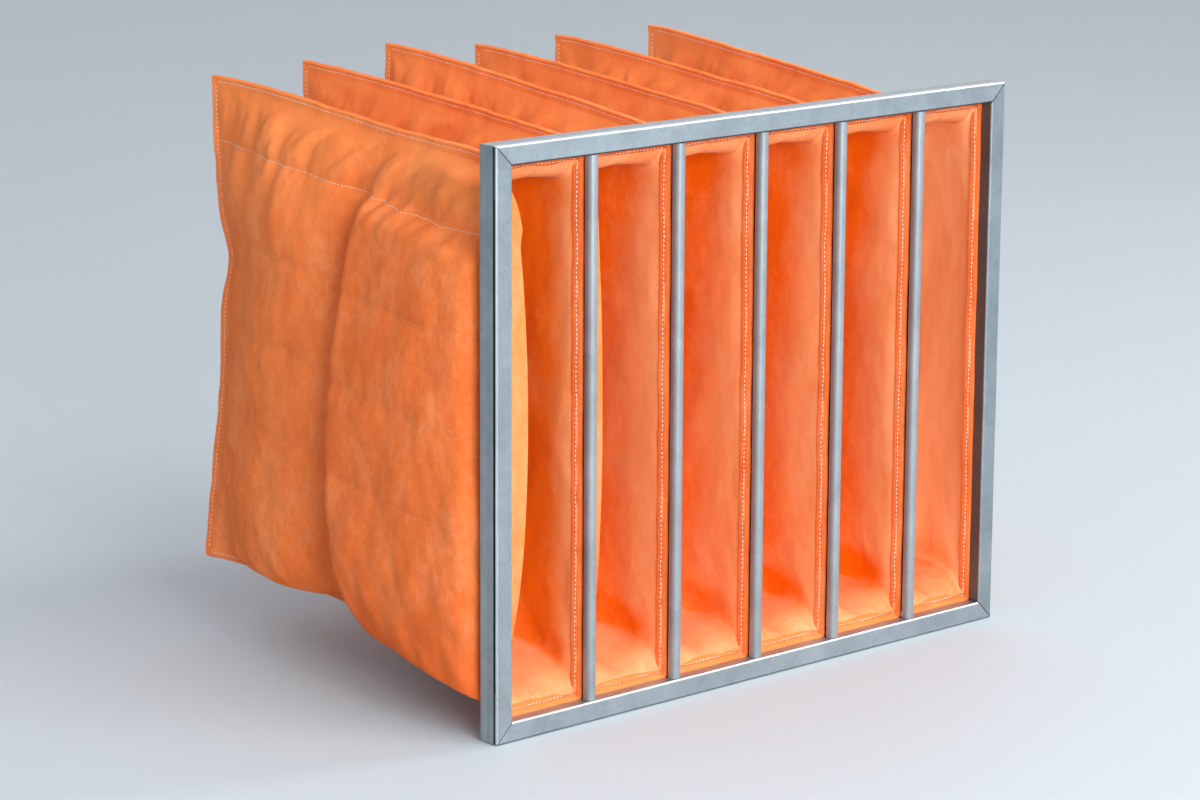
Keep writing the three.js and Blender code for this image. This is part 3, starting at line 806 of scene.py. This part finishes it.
# a web: straight across between the two walls along a sewn row, sagging like a half wave, with ripples
def webSheet(left, right, level, seed):
    ends = []
    for wall, gap in ((left, webs["gap"]), (right, -webs["gap"])):
        line = rowLine(wall, level, 0, None)
        number = np.arange(len(line))
        span = np.linspace(webs["start"], webs["end"], webs["stations"]) * (len(line) - 1)
        line = np.stack([np.interp(span, number, line[:, k]) for k in range(3)], -1)
        ends.append(line + [gap, 0, 0])
    t = np.linspace(0, 1, webs["across"])[None, :, None]
    sheet = ends[0][:, None] * (1 - t) + ends[1][:, None] * t
    u, t = np.arange(webs["stations"])[:, None], t[..., 0]
    arch = np.sin(np.pi * t)
    ripples = 1.1 * arch * field(u / 5, t * 3, seed) + 0.5 * field(u / 2.5, t * 6, seed + 1)
    sheet[..., 2] += ripples - webs["sag"] * arch
    lift = np.array([0, 0, webs["thickness"] / 2])
    return sheet - lift, sheet + lift


# a pocket's webs between its two walls; the width across each one's middle is worked out but not kept
def hangWebs(number, sheets):
    for k, level in enumerate(stitchedRows):
        low, high = webSheet(sheets[-1], sheets[1], level, 490 + 10 * number + k)
        web = makePiece(f"pocket_{number}_web_cloth_{k + 1}", *shell(low, high), webCloth, "web_cloth", 50)
        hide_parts(f"pocket_{number}_web_{k + 1}")
        middle = (low + high) / 2
        widths = np.linalg.norm(middle[:, 0] - middle[:, -1], axis=1) * mm


# one pocket: its two walls, the hem round its mouth, its threads and its webs
def sewPocket(index):
    number = index + 1
    walls, sheets = [], {}
    whiteRuns, orangeRuns = [], []
    for side, word in ((-1, "left"), (1, "right")):
        inner, outer, normal, marks = wallSheets(index, side)
        sheets[side] = inner
        name = f"pocket_{number}_{word}_cloth"
        wall = makePiece(name, *shell(inner, outer), orangeCloth, "filter_cloth", 50, marks)
        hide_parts(f"pocket_{number}_{word}_wall")
        walls.append(wall)
        # the line round the seam, 5 mm in from the edge, and the rows across the wall
        for line in ((slice(12, -6), 5), (slice(12, -6), -6), (-7, slice(6, -6))):
            whiteRuns.append(stitchRun(outer[line], normal[line]))
        for k, level in enumerate(stitchedRows):
            line = rowLine(outer, level, 5, -5)
            lift = rowLine(np.concatenate([normal[..., :2], outer[..., 2:]], -1), level, 5, -5)
            lift[:, 2] = 0
            if k == 0:
                whiteRuns.append(stitchRun(line, lift, 0.34))
            else:
                orangeRuns.append(stitchRun(line, lift, 0.26))
    ring, line, inwards, shade = hemRing(index)
    faces = gridFaces(*ring.shape[:2], True, True)
    hem = makePiece(f"pocket_{number}_hem", ring, faces, hemCloth, "filter_cloth", 60, dict(shade=shade))
    closed = np.append(np.arange(len(line)), 0)
    whiteRuns.append(stitchRun(line[closed], inwards[closed], 0.5))
    white = makePiece(f"pocket_{number}_seam_thread", *joined(whiteRuns), whiteThread, "web_cloth")
    fine = makePiece(f"pocket_{number}_row_thread", *joined(orangeRuns), orangeThread, "web_cloth")
    hangWebs(number, sheets)
    print("pocket", number, "sewn")


for index in range(len(pockets)):
    sewPocket(index)


# a folded sheet: an outer line with its normals, the same line one sheet's thickness in, and the two
# carried along a length; reach gives how far each point goes towards the ends, for the mitres
def foldedMember(line, normal, sheet, reach, stations, wobble):
    both = np.concatenate([line, (line - normal * sheet)[::-1]])
    reach = np.concatenate([reach, reach[::-1]])
    count = len(both)
    t = np.linspace(-1, 1, stations)[:, None]
    drift = wobble * field(t * 6, both[None, :, 0] / 30, 201)
    along = t * reach[None, :]
    points = np.stack([both[None, :, 0] + drift, both[None, :, 1] + 0.6 * drift, along], -1)
    faces = gridFaces(stations, count, False, True)
    k = np.arange(count // 2 - 1)
    cap = np.stack([k, count - 1 - k, count - 2 - k, k + 1], -1)
    return points, np.concatenate([faces, cap, cap[:, ::-1] + (stations - 1) * count])


# points and normals of a line made of straight runs and arcs
def traced(parts):
    points, normals = [], []
    for part in parts:
        if part[0] == "run":
            _, start, end, facing, count = part
            t = np.linspace(0, 1, count)[:, None]
            points.append(np.array(start) * (1 - t) + np.array(end) * t)
            normals.append(np.tile(facing, (count, 1)))
        else:
            _, centre, radii, first, final, count = part
            a = np.radians(np.linspace(first, final, count + 2)[1:-1])
            points.append(np.array(centre) + np.stack([radii[0] * np.cos(a), radii[1] * np.sin(a)], -1))
            facing = np.stack([np.cos(a) / radii[0], np.sin(a) / radii[1]], -1)
            normals.append(facing / np.linalg.norm(facing, axis=1, keepdims=True))
    return np.concatenate(points), np.concatenate(normals)


# the header's section from its back over the web and the front to the inner return: x runs in from the
# header's edge, y back from its front; also the mark "edge" of each member, with its painted highlights
# and painted shade
def headerSection():
    flange, bend = header["flange"], header["bend"]
    line, normal = traced([
        ("run", (0, header["depth"]), (0, 5), (-1, 0), 24),
        ("run", (0, 4.9), (0, bend), (-1, 0), 32),
        ("arc", (bend, bend), (bend, bend), 180, 270, 7),
        ("run", (bend, 0), (flange - bend, 0), (0, -1), 12),
        ("arc", (flange - bend, bend), (bend, bend), 270, 360, 7),
        ("run", (flange, bend), (flange, header["back"]), (1, 0), 10),
    ])
    web, back = normal[:, 0] < -0.99, line[:, 1]
    groove, dip = header["groove"], header["dip"]
    pressed = groove["deep"] * np.exp(-(((back - groove["at"]) / groove["half"]) ** 4))
    pressed = pressed + dip["deep"] * np.exp(-(((back - dip["at"]) / dip["half"]) ** 2))
    line = line + (pressed * web)[:, None] * [1, 0]
    # painted highlights on the bends that face the light, and painted shade in the groove, on the right
    # member's inner return and on the bends in shadow
    bends = 2 * np.abs(normal[:, 0] * normal[:, 1])
    outerBend, innerBend = bends * (normal[:, 0] < 0), bends * (normal[:, 0] > 0)
    inGroove = web * smooth(back, 1.9, 2.1) * (1 - smooth(back, 4.1, 4.4))
    edges = dict(
        left=0.25 * outerBend - inGroove,
        right=0.1 * outerBend - 0.6 * (normal[:, 0] > 0.99),
        bottom=0.8 * innerBend - 0.6 * outerBend,
        top=0.8 * outerBend - innerBend,
    )
    return line, normal, edges


# the four members, each the section carried along its side and mitred at 45 degrees
def foldHeader():
    line, normal, edges = headerSection()
    width, height, stations = header["width"], header["height"], header["stations"]
    for word, length in dict(left=height, right=height, bottom=width, top=width).items():
        reach = length / 2 - line[:, 0] - header["gap"]
        points, faces = foldedMember(line, normal, header["sheet"], reach, stations, header["wobble"])
        x, y, along = points[..., 0], points[..., 1], points[..., 2]
        points = dict(
            left=(x - width / 2, y, along + height / 2),
            right=(width / 2 - x, y, along + height / 2),
            bottom=(along, y, x),
            top=(along, y, height - x),
        )[word]
        edge = np.tile(np.concatenate([edges[word], edges[word][::-1]]), (stations, 1))
        # painted light: the left member is brighter towards its foot
        if word == "left":
            edge = edge + np.linspace(0.09, 0, stations)[:, None]  # brighter towards its foot
        # the lighter copy on the top and the bottom member is painted light
        steel = litCrossSteel if length == width else headerSteel
        name = f"header_{word}_member"
        member = makePiece(name, np.stack(points, -1), faces, steel, "galvanised_steel", 40, dict(edge=edge))
        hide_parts(f"header_{word}")


rail = dict(half=5.1, nose=5.2, shoulder=6.7, back=9, sheet=0.8, wobble=0.1, stations=30, gap=0.3)


# the separator bars: round-nosed rails, open at the back, between the top and the bottom member
def setBars():
    half, shoulder, back = rail["half"], rail["shoulder"], rail["back"]
    line, normal = traced([
        ("run", (-half, back), (-half, shoulder), (-1, 0), 4),
        ("arc", (0, shoulder), (half, rail["nose"]), 180, 360, 27),
        ("run", (half, shoulder), (half, back), (1, 0), 4),
    ])
    reach = np.full(len(line), header["height"] / 2 - header["flange"] - rail["gap"])
    for number in range(1, len(pockets)):
        points, faces = foldedMember(line, normal, rail["sheet"], reach, rail["stations"], rail["wobble"])
        points = points + [barCentre(number), 0, header["height"] / 2]
        bar = makePiece(f"separator_bar_{number}_rail", points, faces, barSteel, "bar_steel", 40)
        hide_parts(f"separator_bar_{number}")


foldHeader()
setBars()
for name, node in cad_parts.items():
    if name.startswith(("clamp_strip", "corner_angle", "corner_rivet")):
        node.data.materials.clear()
        node.data.materials.append(innerSteel)
print("header folded")


# sizes are in metres here
studio = dict(
    floor=(185, 195, 200),
    wall=(244, 243, 244),
    wallGlow=(0.22, 0.17, 0.15),
    half=6,
    bendAt=5.5,
    bendRadius=1.5,
    wallTop=8,
    facing=44.6,  # degrees from Y towards X in which the backdrop stands
    world=(0.80, 0.84, 0.90),
    worldStrength=0.73,
    keyPower=195,
    fillPower=95,
    sidePower=36,
)


# floor and backdrop in one sweep: flat, then a quarter circle, then straight up
def sweepFloor():
    half, radius, columns = studio["half"], studio["bendRadius"], 40
    flat = np.linspace(-half, studio["bendAt"], columns)
    bend = np.radians(np.linspace(0, 90, 16))[1:]
    depth = np.concatenate([flat, studio["bendAt"] + radius * np.sin(bend), [studio["bendAt"] + radius] * 6])
    rise = np.concatenate([0 * flat, radius * (1 - np.cos(bend)), np.linspace(2, studio["wallTop"], 6)])
    facing = math.radians(studio["facing"])
    forward = np.array([math.sin(facing), math.cos(facing)])
    aside = np.array([forward[1], -forward[0]])
    u = np.linspace(-half, half, columns)[:, None]
    ground = np.stack([
        u * aside[0] + depth[None] * forward[0],
        u * aside[1] + depth[None] * forward[1],
        np.broadcast_to(rise - 0.0002, (columns, len(rise))),
    ], -1)
    mesh = bpy.data.meshes.new("studio_floor")
    mesh.from_pydata(ground.reshape(-1, 3).tolist(), [], gridFaces(columns, len(rise)).tolist())
    mesh.polygons.foreach_set("use_smooth", np.ones(len(mesh.polygons), bool))
    return mesh


# the floor's colour goes over to the wall's with height, and the wall glows a little
def makeFloor():
    material, shader, wires, place = newMaterial("studioFloor", 0, 0.62)
    height = wires.node("ShaderNodeSeparateXYZ", {}, {0: place}, output=2)
    grain = noise(wires, place, 900, 2)
    shade = mixColour(wires, height * 2 + grain * 0.06, paint(*studio["floor"]), paint(*studio["wall"]))
    plug(wires, shade, shader, "Base Color")
    glow = mixColour(wires, height * 1.4 - 0.1, (0, 0, 0, 1), (*studio["wallGlow"], 1))
    plug(wires, glow, shader, "Emission Color")
    shader.inputs["Emission Strength"].default_value = 1
    return material


floorMesh = sweepFloor()
floorMesh.materials.append(makeFloor())
floorPiece = bpy.data.objects.new("studio_floor", floorMesh)
scene.collection.objects.link(floorPiece)

world = bpy.data.worlds.new("studio")
scene.world = world
world.use_nodes = True
world.node_tree.nodes["Background"].inputs["Color"].default_value = (*studio["world"], 1)
world.node_tree.nodes["Background"].inputs["Strength"].default_value = studio["worldStrength"]


# a square soft box at a place, facing a target
def softBox(name, place, target, size, power, colour=(1, 1, 1)):
    lamp = bpy.data.lights.new(name, "AREA")
    lamp.size = size
    lamp.energy = power
    lamp.color = colour
    holder = bpy.data.objects.new(name, lamp)
    holder.location = place
    aim = np.array(target) - place
    tip = math.atan2(math.hypot(aim[0], aim[1]), -aim[2])
    holder.rotation_euler = (tip, 0, math.atan2(aim[1], aim[0]) - math.pi / 2)
    scene.collection.objects.link(holder)


softBox("key", (0.6, -3.4, 2.7), (0, 0.1, 0.2), 4.2, studio["keyPower"])
softBox("fill", (-1.6, -3.3, 1.2), (0, 0.1, 0.25), 1.5, studio["fillPower"], (0.98, 0.99, 1))
softBox("side", (3.0, -0.9, 2.8), (0, 0.1, 0.25), 0.8, studio["sidePower"])

camera = dict(lens=114.79, place=(-2.22346, -2.26287, 0.938), turn=(77.6221, -0.2875, -42.0744))
lens = bpy.data.cameras.new("camera")
lens.sensor_width = 36
lens.lens = camera["lens"]
lens.clip_end = 60
eye = bpy.data.objects.new("camera", lens)
eye.location = camera["place"]
eye.rotation_euler = [math.radians(a) for a in camera["turn"]]
scene.collection.objects.link(eye)
scene.camera = eye
scene.view_settings.view_transform = "Standard"
print("studio set")
